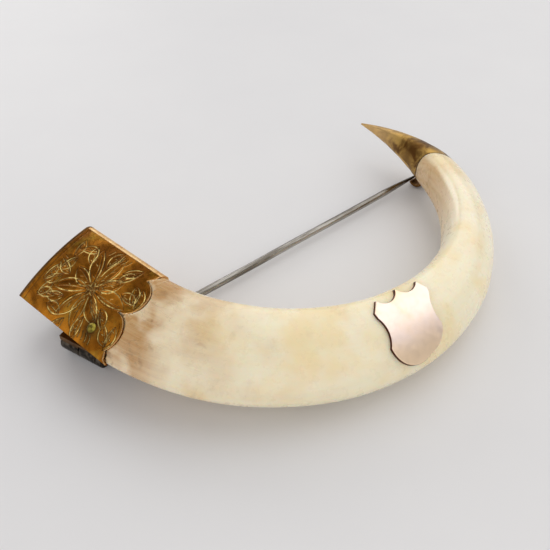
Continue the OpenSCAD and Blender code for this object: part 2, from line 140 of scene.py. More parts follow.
def hornPoint(turn, around, inset=0.0):
    # superellipse quarters round the section's centre, turned about the crescent's centre
    turn, around = np.broadcast_arrays(np.asarray(turn, float), np.asarray(around, float))
    parts = sectionAt(turn)
    quarter = (np.floor(around / 90).astype(int)) % 4
    power = blendOf(np.array(section["rootPowers"])[quarter], np.array(section["tipPowers"])[quarter],
            np.minimum(1, 2 * alongHorn(turn)))
    c, s = np.cos(np.radians(around)), np.sin(np.radians(around))
    side = np.where(c > 0, parts[..., 3], parts[..., 2]) - inset
    rise = np.where(s > 0, parts[..., 4], parts[..., 5]) - inset
    x = np.sign(c) * np.abs(c) ** (2 / power) * np.maximum(side, 0.01)
    z = np.sign(s) * np.abs(s) ** (2 / power) * np.maximum(rise, 0.01)
    plan = direction(turn) * (parts[..., 0] + x)[..., None]
    return join([plan, (parts[..., 1] + z)[..., None]], -1)


# the crescent's centre in the frame, from the hinge and the catch
hinge = next(j for j in frame["joints"] if j["name"] == "pin_swing")
hingeAt = np.array(hinge["pos_m"]) / mm
hingeAxis = np.array(hinge["axis"])
catchLow, catchHigh = (np.array(corner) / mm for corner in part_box("catch_hook"))
catchMiddle = (catchLow + catchHigh) / 2
tipAt = innerRidge(tipTurn) * direction(tipTurn)
centre = np.array([catchMiddle[0] - tipAt[0] - crescent["catchIn"], hingeAt[1] + crescent["pinDrop"], 0])
print("tusk brooch: crescent centre at", centre.round(3))

# the root cap's own frame: x out across the tusk, y away from it
cap = {
    "length": 12.9, "skew": 0.85, "lean": 10.0, "sheet": 0.4, "outside": 0.2, "edgeRise": 0.1,
    "edgeRound": 0.11, "edgeStart": 0.12, "edgeGap": 0.02, "backBend": 0.9,
    "faceBow": 0.65, "shoulder": 0.9, "flatShare": 0.73, "lobeRadius": 2.22,
    "lobes": ((0.386, 0.35), (0.776, 0.2)),
    "rim": ((0, -0.95), (0.12, -0.5), (0.206, 0.3), (0.583, 0.3), (0.86, 0), (0.91, -1.6),
        (0.97, -1.95), (1, -2.85)),
    # inset and rise of the end plate's rows
    "endRows": ((0.06, 0.0), (0.0, 0.05), (0.0, 0.28), (0.02, 0.34), (0.06, 0.38), (0.12, 0.4),
        (0.5, 0.4), (2.0, 0.4)),
}
capAt = (innerRidge(rootTurn) - cap["outside"]) * direction(rootTurn)
capWidth = float(outerRidge(rootTurn) - innerRidge(rootTurn)) + cap["sheet"]
capX = -direction(cap["lean"])
capY = direction(cap["lean"] + 90)
faceFrom = np.array([cap["shoulder"], section["rootTop"]])
outerEdge = section["rootEdge"] + cap["edgeRise"]
backAt, bendAt = section["rootLift"], capWidth * cap["flatShare"]
faceTo = np.array([capWidth, outerEdge])
faceChord = np.linalg.norm(faceTo - faceFrom)
faceRadius = faceChord ** 2 / (8 * cap["faceBow"]) + cap["faceBow"] / 2
faceAlong = (faceTo - faceFrom) / faceChord
faceSide = np.array([-faceAlong[1], faceAlong[0]])
faceCentre = (faceFrom + faceTo) / 2 - faceSide * (faceRadius - cap["faceBow"])


def fromCap(x, y, z):
    # capAt + x across + y away, then the crescent's centre
    plan = capAt + x[..., None] * capX + y[..., None] * capY
    return join([plan, z[..., None]], -1) + centre


def toCap(points):
    # the reverse: how far a point lies across and away, before the centre is added
    offset = points[..., :2] - capAt
    return offset @ capX, offset @ capY


def rimAt(x):
    # the lowest of the base line and the two lobe circles
    share = np.clip(x / capWidth, 0, 1)
    line = np.interp(share, [p[0] for p in cap["rim"]], [p[1] for p in cap["rim"]])
    for lobeAt, height in cap["lobes"]:
        gap = cap["lobeRadius"] ** 2 - ((share - lobeAt) * capWidth) ** 2
        line = np.minimum(line, np.where(gap > 0, height - np.sqrt(np.maximum(gap, 0)), 9))
    return line


def endAt(x):
    # the end's distance grows with x by the skew
    return cap["length"] + cap["skew"] * x / capWidth


# mesh helpers
def smoothStep(x):
    # x held between 0 and 1, then 3 x^2 - 2 x^3
    x = np.clip(x, 0, 1)
    return x * x * (3 - 2 * x)


def loft(name, grid, ends=True, wrap=False):
    # quads between neighbouring closed rows of a grid; the last row may meet the first (wrap), and
    # the two ends may be closed by a fan to their middle (ends)
    rows, columns = grid.shape[:2]
    points = grid.reshape(-1, 3)
    i = np.arange(rows if wrap else rows - 1)[:, None]
    j = np.arange(columns)[None, :]
    nextRow, nextColumn = (i + 1) % rows, (j + 1) % columns
    quads = np.stack([i * columns + j, i * columns + nextColumn,
            nextRow * columns + nextColumn, nextRow * columns + j], -1).reshape(-1, 4)
    faces = quads.tolist()
    if ends:
        middles = np.stack([grid[0].mean(0), grid[-1].mean(0)])
        points = join([points, middles])
        k = np.arange(columns)
        around = (k + 1) % columns
        first = np.stack([around, k, np.full(columns, len(points) - 2)], -1)
        last = np.stack([k, around, np.full(columns, 0)], -1) + (rows - 1) * columns
        last[:, 2] = len(points) - 1
        faces += first.tolist() + last.tolist()
    return meshOf(name, points, faces)


def addObject(name, data):
    # a new object, linked to the scene
    made = bpy.data.objects.new(name, data)
    bpy.context.scene.collection.objects.link(made)
    return made


def meshOf(name, points, faces):
    # a smooth-shaded mesh from points in millimetres, its faces turned outward
    mesh = bpy.data.meshes.new(name)
    mesh.from_pydata((points * mm).tolist(), [], faces)
    mesh.validate()
    mesh.polygons.foreach_set("use_smooth", np.ones(len(mesh.polygons), bool))
    piece = addObject(name, mesh)
    outward(piece)
    return piece


def outward(piece):
    # the sum of x . normal * area over all faces is three times the volume: flip if it is negative
    mesh = piece.data
    count = len(mesh.polygons)
    middle, normal, area = np.zeros(count * 3), np.zeros(count * 3), np.zeros(count)
    mesh.polygons.foreach_get("center", middle)
    mesh.polygons.foreach_get("normal", normal)
    mesh.polygons.foreach_get("area", area)
    if ((middle * normal).reshape(-1, 3).sum(1) * area).sum() < 0:
        mesh.flip_normals()


def paint(piece, name, values):
    # a number for each point, which a material reads by name
    attribute = piece.data.attributes.new(name, "FLOAT", "POINT")
    full = np.zeros(len(piece.data.vertices), np.float32)
    full[: values.size] = values.ravel()
    attribute.data.foreach_set("value", full)


def place(piece, body, slot, material, *nodes):
    # material and body for a piece, and the nodes that it stands in for; the slot is not used
    piece.data.materials.append(material)
    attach(piece, body)
    if nodes:
        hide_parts(*nodes)


# material helpers
def srgb(red, green, blue):
    # display values 0 to 255 as linear light
    c = np.array([red, green, blue]) / 255
    return (*np.where(c <= 0.04045, c / 12.92, ((c + 0.055) / 1.055) ** 2.4), 1.0)


class Finish:
    # a material's nodes, with short calls for the ones used here
    def __init__(self, name, colour, **settings):
        self.material = bpy.data.materials.new(name)
        self.material.use_nodes = True
        self.nodes = self.material.node_tree.nodes
        self.links = self.material.node_tree.links
        self.shader = self.nodes["Principled BSDF"]
        self.shader.inputs["Base Color"].default_value = colour
        for key, value in settings.items():
            self.shader.inputs[key.replace("_", " ")].default_value = value
        self.place = self.nodes.new("ShaderNodeTexCoord").outputs["Object"]

    def noise(self, scale, detail=4, roughness=0.55, stretch=None, source=None, distortion=0.0):
        # a noise of the place, or of the source, stretched if asked
        source = source or self.place
        if stretch:
            mapping = self.nodes.new("ShaderNodeMapping")
            mapping.inputs["Scale"].default_value = stretch
            self.links.new(source, mapping.inputs["Vector"])
            source = mapping.outputs["Vector"]
        node = self.nodes.new("ShaderNodeTexNoise")
        node.inputs["Scale"].default_value = scale
        node.inputs["Detail"].default_value = detail
        node.inputs["Roughness"].default_value = roughness
        node.inputs["Distortion"].default_value = distortion
        self.links.new(source, node.inputs["Vector"])
        return node.outputs["Fac"]

    def spread(self, value, low, high, toLow=0.0, toHigh=1.0):
        # low to high becomes toLow to toHigh in a smooth step
        node = self.nodes.new("ShaderNodeMapRange")
        node.interpolation_type = "SMOOTHSTEP"
        for key, number in zip(("From Min", "From Max", "To Min", "To Max"), (low, high, toLow, toHigh)):
            node.inputs[key].default_value = number
        self.links.new(value, node.inputs["Value"])
        return node.outputs["Result"]

    def combine(self, operation, a, b):
        # one arithmetic step on numbers or outputs
        node = self.nodes.new("ShaderNodeMath")
        node.operation = operation
        for socket, value in zip(node.inputs, (a, b)):
            if isinstance(value, (int, float)):
                socket.default_value = value
            else:
                self.links.new(value, socket)
        return node.outputs["Value"]

    def product(self, a, b):
        # a times b
        return self.combine("MULTIPLY", a, b)

    def mix(self, share, a, b):
        # a plus the share of the way to b; the colours are inputs 6 and 7
        node = self.nodes.new("ShaderNodeMix")
        node.data_type = "RGBA"
        for key, value in ((0, share), (6, a), (7, b)):
            if isinstance(value, (tuple, int, float)):
                node.inputs[key].default_value = value
            else:
                self.links.new(value, node.inputs[key])
        return node.outputs[2]

    def attribute(self, name):
        # a painted number
        node = self.nodes.new("ShaderNodeAttribute")
        node.attribute_name = name
        return node.outputs["Fac"]

    def uv(self):
        # the surface map
        return self.nodes.new("ShaderNodeUVMap").outputs["UV"]

    def set(self, key, value):
        # an output into the shader
        self.links.new(value, self.shader.inputs[key])

    def worn(self, colour, rough, low, high, fine, distance, strength):
        # colour, roughness from low to high in one noise, fine bumps from another
        self.set("Base Color", colour)
        self.set("Roughness", self.spread(self.noise(*rough), 0.3, 0.7, low, high))
        self.bump(self.noise(*fine), distance, strength)
        return self.material

    def bump(self, height, distance, strength=1.0):
        # adds to any bump that is there already
        node = self.nodes.new("ShaderNodeBump")
        node.inputs["Distance"].default_value = distance
        node.inputs["Strength"].default_value = strength
        self.links.new(height, node.inputs["Height"])
        if self.shader.inputs["Normal"].is_linked:
            self.links.new(self.shader.inputs["Normal"].links[0].from_socket, node.inputs["Normal"])
        self.links.new(node.outputs["Normal"], self.shader.inputs["Normal"])


# tusk
tuskLook = {
    "cream": srgb(254, 243, 214), "warm": srgb(250, 230, 184), "stain": srgb(190, 144, 88),
    "deepStain": srgb(132, 92, 50), "hairline": srgb(110, 92, 74), "shadeSide": srgb(214, 174, 120),
    "columns": 240, "tuck": 0.75, "play": 0.12, "edgeStep": 0.16, "polish": 0.035,
    "rows": ((190.5, 206, 0.22), (206, 338.5, 0.6), (338.5, 351, 0.22)),   # turns from, to, step
    "stains": ((0.95, 4.5), (0.3, 16)), "tipStain": (0.25, 2),   # strength and fading distance
    # where the painted shade on the bay's wall starts, and the turns over which it grows
    "wallShadeFrom": 290, "wallShadeOver": 50,
}


def tuskFinish():
    # cream dentine: warm mottling, brown stain where the caps were set, fine grey hairlines, and painted
    # shade on the wall inside the bay
    look = tuskLook
    f = Finish("polishedTusk", look["cream"], Roughness=0.3, IOR=1.54, Subsurface_Weight=0.35,
            Subsurface_Scale=0.0012, Coat_Weight=0.35, Coat_Roughness=0.12)
    f.shader.inputs["Subsurface Radius"].default_value = (1.0, 0.6, 0.35)
    grain = f.uv()
    broad = f.spread(f.noise(160, 3), 0.42, 0.68)
    colour = f.mix(broad, look["cream"], look["warm"])
    # painted shade on the wall inside the bay
    wall = f.spread(f.attribute("wall"), 0.0, 1.0, 0.0, 0.75)
    colour = f.mix(wall, colour, look["shadeSide"])
    patches = f.spread(f.noise(210, 3, 0.5, distortion=0.4), 0.36, 0.7)
    stainShare = f.product(f.attribute("stain"), f.combine("ADD", 0.35, patches))
    colour = f.mix(stainShare, colour, look["stain"])
    spots = f.spread(f.noise(420, 3, distortion=0.6), 0.58, 0.74)
    colour = f.mix(f.product(f.product(spots, f.attribute("stain")), 0.8), colour,
            look["deepStain"])
    # long growth lines along the tusk, and thin cracks near the cap
    lines = f.noise(1.0, 5, 0.7, (0.10, 2.2, 1), source=grain)
    colour = f.mix(f.spread(lines, 0.40, 0.62, 0.0, 0.22), colour, look["warm"])
    waver = f.noise(1.0, 3, 0.5, (0.16, 0.9, 1), source=grain, distortion=0.8)
    crack = f.combine("ABSOLUTE", f.combine("SUBTRACT", waver, 0.5), 0)
    crackLine = f.product(f.spread(crack, 0.0, 0.012, 1.0, 0.0), f.attribute("stain"))
    colour = f.mix(f.product(crackLine, 0.3), colour, look["hairline"])
    f.set("Base Color", colour)
    f.set("Roughness", f.spread(f.noise(900, 4), 0.3, 0.7, 0.24, 0.38))
    f.bump(lines, 0.00002, 0.5)
    f.bump(f.noise(2500, 3), 0.000008, 0.5)
    return f.material


def buildTusk():
    # the horn's section carried along the crescent; under each cap it is drawn in by the tuck
    look = tuskLook
    turns = join([np.arange(*span) for span in look["rows"]])
    around = (np.arange(look["columns"]) + 0.5) * 360 / look["columns"]
    turn, k = np.meshgrid(turns, around, indexing="ij")
    outside = hornPoint(turn, k)
    x, y = toCap(outside)
    underCap = smoothStep((y - rimAt(x) + 0.05) / look["edgeStep"])
    underTip = smoothStep((tipDepth(outside) + 0.05) / look["edgeStep"])
    tuck = look["tuck"] * underCap + (cap["sheet"] + look["play"]) * underTip
    # slow waves of hand polishing
    wander = np.sin(0.21 * turn + 1.7 * np.sin(np.radians(k)))
    wave = look["polish"] * wander * np.sin(np.radians(2 * k) + 0.05 * turn)
    grid = hornPoint(turn, k, tuck + wave) + centre
    piece = loft("tusk", grid)
    away = np.maximum(rimAt(x) - y, 0)
    stain = sum(strength * np.exp(-away / fade) for strength, fade in look["stains"])
    strength, fade = look["tipStain"]
    stain = stain + strength * np.exp(-np.maximum(-tipDepth(outside), 0) / fade)
    paint(piece, "stain", np.clip(stain, 0, 1))
    # painted shade: the wall inside the bay is darker towards the tip
    inward, upward = -np.cos(np.radians(k)), np.sin(np.radians(k))
    wallShadeMask = smoothStep((inward - 0.1) / 0.8) * (1 - smoothStep((upward - 0.75) / 0.25))
    paint(piece, "wall", wallShadeMask * smoothStep((turn - look["wallShadeFrom"]) / look["wallShadeOver"]))
    # the surface map holds distances along the crescent and round the section
    uv = piece.data.uv_layers.new(name="grain")
    corners = np.zeros(len(piece.data.loops), np.int64)
    piece.data.loops.foreach_get("vertex_index", corners)
    flat = np.zeros((len(piece.data.vertices), 2))
    flat[: turn.size, 0] = (turn * math.pi / 180 * crescent["midRadius"]).ravel()
    step = np.linalg.norm(np.diff(grid, axis=1, append=grid[:, :1]), axis=-1)
    travel = np.cumsum(step, axis=1)
    flat[: turn.size, 1] = np.minimum(travel, travel[:, -1:] - travel).ravel()
    uv.data.foreach_set("uv", flat[corners].ravel())
    return piece


# tip cap
tipCap = {
    "rimLean": 20.0, "roundRows": 6, "outerRows": 110, "innerRows": 24, "columns": 144,
    "searchBack": 18, "searchOn": 22, "hollowStop": 5, "rimCurl": 0.18, "dent": 0.05,
    "rimShadowFade": 0.35, "reflectionBandAt": 0.22, "reflectionBandSize": 0.14, "reflectionFrom": 0.35, "reflectionOver": 0.4,
}


def tipDepth(points):
    # signed distance past the plane of the tip cap's rim
    start = bodySection(tipTurn)[0] * direction(tipTurn)
    return (points[..., :2] - start) @ direction(tipTurn + 90 - tipCap["rimLean"])


def buildTipCap():
    # for each line round the horn the rim's turn is found by halving; the sheet goes in and back out
    around = (np.arange(tipCap["columns"]) + 0.5) * 360 / tipCap["columns"]
    low = np.full(around.shape, tipTurn - tipCap["searchBack"])
    high = np.full(around.shape, tipTurn + tipCap["searchOn"])
    for step in range(30):
        middle = (low + high) / 2
        past = tipDepth(hornPoint(middle, around)) > 0
        low, high = np.where(past, low, middle), np.where(past, middle, high)
    rim = high
    end = crescent["pointTurn"]
    sheet = cap["sheet"]
    hollowEnd = end - tipCap["hollowStop"]
    inner = [blendOf(rim, hollowEnd, share) for share in np.linspace(1, 0.006, tipCap["innerRows"])]
    outer = [blendOf(rim, end, share ** 1.15) for share in np.linspace(0.012, 1, tipCap["outerRows"])]
    turns = np.array(inner + [rim] * tipCap["roundRows"] + outer)
    curl = np.linspace(0, np.pi, tipCap["roundRows"])
    plain = np.zeros(len(outer))
    insets = join([np.full(len(inner), sheet), sheet * (1 + np.cos(curl)) / 2, plain])
    forward = join([np.zeros(len(inner)), -tipCap["rimCurl"] * np.sin(curl), plain])
    k = np.broadcast_to(around, turns.shape)
    # shallow dents, on the outer face only
    dent = tipCap["dent"] * np.sin(0.9 * (turns - rim)) * np.sin(np.radians(3 * k)) * (insets[:, None] == 0)
    grid = hornPoint(turns + forward[:, None], k, insets[:, None] + np.maximum(dent, 0)) + centre
    piece = loft("tip_cap", grid)
    along = np.clip((turns - rim) / (end - rim), 0, 1)
    # a painted shadow line along the tip cap's rim, fading away from it
    paint(piece, "rimEdge", np.exp(-np.maximum(turns - rim, 0) / tipCap["rimShadowFade"]))
    # a painted dark reflection in a band near the rim, on the upper side only, and a painted lighter
    # reflection towards the point
    reflectionBand = np.exp(-((along - tipCap["reflectionBandAt"]) / tipCap["reflectionBandSize"]) ** 2)
    paint(piece, "reflectionBand", reflectionBand * (np.sin(np.radians(k)) > -0.2))
    paint(piece, "pointReflection", smoothStep((along - tipCap["reflectionFrom"]) / tipCap["reflectionOver"]))
    return piece


# root cap
rivet = {"in": 1.95, "up": 2.06, "tarnish": 1.1}


def sheetPiece(profileX, profileZ, normalX, normalZ, rows, depth=None):
    # a bent sheet: the profile's points go from the rim to the end, half the sheet to each side of
    # its middle, less the depth of the cuts outside, with a rounded edge at both ends
    half, gap = cap["sheet"] / 2, cap["edgeGap"]
    curl = np.linspace(cap["edgeStart"], np.pi / 2, 5)
    x = profileX[None, :]
    rim, end = rimAt(x), endAt(x)
    rounding = cap["edgeRound"] * (1 - np.sin(curl))
    middle = np.clip(blendOf(rim, end, np.linspace(0, 1, rows + 2)[1:-1, None]), rim + gap, end - gap)
    y = join([rim + rounding[:, None], middle, end - rounding[::-1][:, None]])
    y = np.maximum.accumulate(y, axis=0)
    thick = join([np.sin(curl), np.ones(rows), np.sin(curl)[::-1]])[:, None] * half
    x = np.broadcast_to(x, y.shape)
    z = np.broadcast_to(profileZ[None, :], y.shape)
    lift = thick - (0 if depth is None else depth(x, y))
    outer = fromCap(x + normalX * lift, y, z + normalZ * lift)
    inner = fromCap(x - normalX * thick, y, z - normalZ * thick)
    return outer, inner, x, y


def wrapSheet(name, outer, inner):
    # rows of outer points followed by the inner points backwards make closed loops
    return loft(name, join([outer, inner[:, ::-1]], 1))


def backedSheet(name, outer, inner):
    # the fine outer face, a wall round its edge, and a plain back fanned to its middle
    rows, columns = outer.shape[:2]
    index = np.arange(rows * columns).reshape(rows, columns)
    edge = join([index[0, :-1], index[:-1, -1], index[-1, :0:-1], index[:0:-1, 0]])
    edgePoints = inner.reshape(-1, 3)[edge]
    points = join([outer.reshape(-1, 3), edgePoints, inner[rows // 2, columns // 2][None]])
    base = rows * columns
    n = len(edge)
    k = np.arange(n)
    after = (k + 1) % n
    face = np.stack([index[:-1, :-1], index[1:, :-1], index[1:, 1:], index[:-1, 1:]], -1).reshape(-1, 4)
    wall = np.stack([edge, edge[after], base + after, base + k], -1)
    back = np.stack([base + k, base + after, np.full(n, base + n)], -1)
    return meshOf(name, points, face.tolist() + wall.tolist() + back.tolist())


engraving = {
    "columns": 262, "rows": 300, "depth": 0.1, "width": 0.11, "shade": 0.045, "hammer": 0.02,
    "middle": (6.5, 5.6), "sprays": 9, "lobeInset": 0.5, "bead": 0.04, "beadAt": 0.16, "beadSize": 0.07,
}


def stroke(x0, y0, x1, y1, bow=0.0, count=9):
    # a shallow arc from one point to the other, bowed sideways by a share of its length
    t = np.linspace(0, 1, count)
    dx, dy = x1 - x0, y1 - y0
    side = 4 * bow * t * (1 - t)
    return np.stack([x0 + dx * t - dy * side, y0 + dy * t + dx * side], -1)


def leaf(x, y, heading, length, width, veins):
    # two bowed sides, a midrib, and on one side veins that leave it towards the tip
    base, ahead = np.array([x, y]), direction(heading)
    tip = base + length * ahead
    curl = math.copysign(0.35, math.sin(7 * x + 3 * y))
    strokes = []
    for side in (-1, 1):
        strokes.append((stroke(x, y, *tip, side * width / length * (1 + side * curl)), 1.15))
    strokes.append((stroke(x, y, *(base + 0.86 * length * ahead), 0.03), 0.8))
    side = 1 if curl > 0 else -1
    for i in range(veins):
        share = 0.18 + 0.62 * i / max(veins - 1, 1)
        root = base + share * length * ahead
        reachOut = 0.62 * width * math.sin(math.pi * (share + 0.12))
        end = root + reachOut * direction(heading + side * 38) * 1.5
        strokes.append((stroke(*root, *end, side * 0.08, 5), 0.85))
    return strokes


def petals(x, y, count, radius, turn):
    # pointed petals round a small ring, with two shading cuts in each
    strokes, base = [], np.array([x, y])
    for i in range(count):
        heading = turn + 360 * i / count
        tip = base + radius * direction(heading)
        for side in (-1, 1):
            strokes.append((stroke(x, y, *tip, side * 0.24), 1.0))
            shade = base + 0.62 * radius * direction(heading + side * 7)
            start = base + 0.2 * radius * direction(heading + side * 10)
            strokes.append((stroke(*start, *shade, 0.05, 4), 0.7))
    strokes.append((0.16 * radius * direction(np.linspace(0, 360, 17)) + base, 0.8))
    return strokes


def sprays():
    # leaves as x, y, heading, length and half width: two rings round the middle, then the far corners
    leaves = []
    middle = np.array(engraving["middle"])
    for i in range(engraving["sprays"]):
        heading = 360 // engraving["sprays"] * i + 28
        length = 4.4 + 0.8 * math.sin(2.3 * i)
        leaves.append((*(middle + 0.5 * direction(heading)), heading, length, 0.78))
        start = middle + (3.5 + 0.6 * math.sin(1.7 * i)) * direction(heading + 21.0)
        leaves.append((*start, heading + 44, 2.7, 0.55))
    for x, y, heading in ((2.6, 8.6, 70), (4.4, 10.6, 20), (7.0, 10.4, 50), (9.4, 9.6, 75), (10.6, 7.2, 95),
            (2.2, 11.6, 350), (2.3, 1.8, 40), (10.4, 11.9, 200), (3.3, -0.2, 340),
            (5.6, -0.4, 150), (8.1, -0.6, 350), (10.3, -1.0, 130), (6.2, 11.9, 15)):
        leaves.append((x, y, heading, 2.6, 0.55))
    return leaves


def leafShade(x, y):
    # painted shade on one half of each leaf: its share across the leaf, where the leaf's parabola reaches
    # it
    shade = np.zeros(x.shape)
    for leafX, leafY, heading, length, width in sprays():
        along, across = direction(heading), direction(heading + 90.0)
        t = ((x - leafX) * along[0] + (y - leafY) * along[1]) / length
        v = ((x - leafX) * across[0] + (y - leafY) * across[1]) / np.maximum(4 * width * t * (1 - t), 0.05)
        inside = (t > 0) & (t < 1) & (np.abs(v) < 1)
        shade = np.where(inside, np.maximum(shade, np.clip(0.25 + 0.75 * v, 0, 1)), shade)
    return shade


def engravedStrokes():
    # the sprays' leaves, a small flower in the middle, and fine lines between
    strokes = []
    for x, y, heading, length, width in sprays():
        strokes += leaf(x, y, heading, length, width, 3)
    strokes += petals(*engraving["middle"], 5, 1.0, 15)
    # close fan lines across the leaves at the centre
    for i in range(4):
        strokes.append((stroke(6.9 + 0.12 * i, 5.2, 8.2 + 0.3 * i, 0.5 + 0.35 * i, 0.06), 0.8))
        strokes.append((stroke(6.4, 5.1 + 0.14 * i, 3.6, 2.2 + 0.45 * i, -0.08), 0.7))
    # short cuts in the corners and dots near the centre
    for i in range(6):
        strokes.append((stroke(5.0 + 0.5 * i, 12.3, 5.2 + 0.5 * i, 11.5, 0.12, 4), 0.9))
        strokes.append((stroke(11.1, 1.2 + 0.6 * i, 10.3, 1.6 + 0.6 * i, 0.1, 4), 0.8))
        strokes.append((stroke(1.4, 4.0 + 0.6 * i, 2.2, 4.3 + 0.6 * i, -0.1, 4), 0.8))
        dot = direction(60.0 * i) * 0.62 + np.array([5.0, 5.2])
        strokes.append((stroke(*dot, dot[0] + 0.12, dot[1] + 0.1, 0, 3), 1.0))
    # border lines along the end, and arcs that follow the two lobes
    strokes.append((stroke(1.2, 12.55, 11.4, 13.2, 0, 4), 0.6))
    for lobeAt, height in cap["lobes"]:
        arc = (cap["lobeRadius"] - engraving["lobeInset"]) * direction(np.linspace(200, 340, 15))
        strokes.append((arc + np.array([lobeAt * capWidth, height]), 0.6))
    return strokes


def cutDepth(x, y):
    # each stroke is a V: depth falls from the line to half a width, and both swell in the middle
    depth = np.zeros(x.shape)
    for points, weight in engravedStrokes():
        closed = np.allclose(points[0], points[-1])
        count = len(points) - 1
        low, high = points.min(0) - 0.3, points.max(0) + 0.3
        near = (x > low[0]) & (x < high[0]) & (y > low[1]) & (y < high[1])
        if not near.any():
            continue
        px, py = x[near], y[near]
        best = np.zeros(px.shape)
        for i in range(count):
            a, b = points[i], points[i + 1]
            d = b - a
            t = np.clip(((px - a[0]) * d[0] + (py - a[1]) * d[1]) / max(d @ d, 1e-9), 0, 1)
            gap = np.hypot(px - a[0] - t * d[0], py - a[1] - t * d[1])
            share = (i + t) / count
            even = closed or (count == 3 and weight < 0.85)
            swell = 1.0 if even else 0.35 + 0.65 * np.sin(np.pi * share) ** 0.7
            best = np.maximum(best, swell * np.clip(1 - gap / (engraving["width"] * swell * weight), 0, 1))
        depth[near] = np.maximum(depth[near], best * weight)
    return depth * engraving["depth"]


def rimBead(x, y):
    # a fine raised line follows the scalloped rim: a bell curve of the distance from its middle
    away = y - rimAt(x) - engraving["beadAt"]
    return -engraving["bead"] * np.exp(-(away / engraving["beadSize"]) ** 2)


def relief(x, y):
    # cuts, rim bead, faint hammering and the leaves' dark halves added up
    hammer = engraving["hammer"] * np.sin(1.9 * x + 0.8 * np.sin(1.3 * y)) * np.sin(1.1 * y + 0.5)
    return cutDepth(x, y) + rimBead(x, y) + hammer + engraving["shade"] * leafShade(x, y)


def buildCapFace():
    # the arc between the shoulder and the outer edge, engraved from outside
    half = cap["sheet"] / 2
    x = np.linspace(cap["shoulder"], capWidth, engraving["columns"])
    angle = np.arcsin((x - faceCentre[0]) / faceRadius)
    radius = faceRadius - half
    middleX = np.clip(faceCentre[0] + radius * np.sin(angle), cap["shoulder"], capWidth)
    middleZ = faceCentre[1] + radius * np.cos(angle)
    outer, inner, gx, gy = sheetPiece(middleX, middleZ, np.sin(angle), np.cos(angle), engraving["rows"],
            relief)
    piece = backedSheet("cap_front_plate", outer, inner)
    paint(piece, "cut", np.clip(cutDepth(gx, gy) / engraving["depth"], 0, 1))
    paint(piece, "rimEdge", np.exp(-((gy - rimAt(gx)) / 0.16) ** 2))
    paint(piece, "leafShade", leafShade(gx, gy))
    fromRivet = np.hypot(gx - (capWidth - rivet["in"]), gy - rivet["up"])
    paint(piece, "tarnish", np.exp(-(fromRivet / rivet["tarnish"]) ** 2))
    return piece


def buildCapSide():
    # up the inner wall and round the shoulder by a quarter turn
    half = cap["sheet"] / 2
    shoulder = cap["shoulder"]
    bend = np.linspace(0, np.pi / 2, 16)
    straight = np.linspace(backAt, section["rootTop"] - shoulder, 34)[:-1]
    radius = shoulder - half
    x = join([np.full(straight.shape, half), shoulder - radius * np.cos(bend)])
    z = join([straight, section["rootTop"] - shoulder + radius * np.sin(bend)])
    normalX = join([np.full(straight.shape, -1.0), -np.cos(bend)])
    normalZ = join([np.zeros(straight.shape), np.sin(bend)])
    return wrapSheet("cap_side_wall", *sheetPiece(x, z, normalX, normalZ, 120)[:2])


def buildCapBack():
    # the flat back, then the slope up to the outer edge, joined by a small bend
    half = cap["sheet"] / 2
    slope = math.atan2(outerEdge - backAt, capWidth - bendAt)
    bend = np.linspace(0, slope, 12)
    r = cap["backBend"]
    flat = np.linspace(cap["sheet"], bendAt - r * math.tan(slope / 2), 40)
    arcX = flat[-1] + (r - half) * np.sin(bend)
    arcZ = backAt + r - (r - half) * np.cos(bend)
    runLength = (capWidth - 0.25 - arcX[-1]) / math.cos(slope)
    run = np.linspace(0, runLength, 26)[1:]
    x = join([flat, arcX[1:], arcX[-1] + run * math.cos(slope)])
    z = join([np.full(flat.shape, backAt + half), arcZ[1:], arcZ[-1] + run * math.sin(slope)])
    angle = join([np.zeros(flat.shape), bend[1:], np.full(run.shape, slope)])
    return wrapSheet("cap_back_plate", *sheetPiece(x, z, np.sin(angle), -np.cos(angle), 100)[:2])


def capLoop(inset):
    # the cap's outline in x and z: back, slope, face arc, shoulder and inner wall, drawn in by inset
    angle = np.linspace(math.asin((capWidth - faceCentre[0]) / faceRadius),
            math.asin((cap["shoulder"] - faceCentre[0]) / faceRadius), 60)
    bend = np.linspace(np.pi / 2, np.pi, 14)[1:]
    shoulderZ = section["rootTop"] - cap["shoulder"]
    x = join([np.linspace(0, bendAt, 30)[:-1], np.linspace(bendAt, capWidth, 20)[:-1],
            faceCentre[0] + faceRadius * np.sin(angle),
            cap["shoulder"] + cap["shoulder"] * np.cos(bend), np.zeros(19)])
    z = join([np.full(29, backAt), np.linspace(backAt, outerEdge, 20)[:-1],
            faceCentre[1] + faceRadius * np.cos(angle),
            shoulderZ + cap["shoulder"] * np.sin(bend), np.linspace(shoulderZ, backAt, 21)[1:-1]])
    middle = np.array([x.mean(), z.mean()])
    size = np.hypot(x - middle[0], z - middle[1])
    return x - (x - middle[0]) / size * inset, z - (z - middle[1]) / size * inset


def buildCapEnd():
    # the outline in a few rows from the sheet's inside to its rounded outer corner
    grid = []
    for inset, rise in cap["endRows"]:
        x, z = capLoop(inset)
        grid.append(fromCap(x, endAt(x) + rise, z))
    return loft("cap_end_plate", np.array(grid))


# shield cartouche
shield = {
    "turn": 263.4, "out": 0.65, "width": 8.1, "length": 8.9, "lean": 6.5, "thick": 0.6, "bend": 9.5,
    "reach": 3.4, "handCut": 0.05,
    "scallop": (0.194, 0.585, 0.213), "waist": (0.894, 0.05, 0.488), "bulge": (0.056, -0.107, 0.406),
    "corners": ((0.36, 0.485, 1), (0.48, 0.34, 1), (0.406, -0.107, 0.5), (0.15, -0.44, 0)),
    "rays": 720, "rings": 36, "bevel": 0.09,
}


def frontHeight(turn, radius):
    # height of the tusk's front where the superellipse's quarter has that reach
    parts = bodySection(turn)
    power = blendOf(section["rootPowers"][0], section["tipPowers"][0], min(1, 2 * alongHorn(turn)))
    x = min(1.0, max(0.0, (radius - parts[0]) / parts[3]))
    return parts[1] + parts[4] * (1 - x ** power) ** (1 / power)


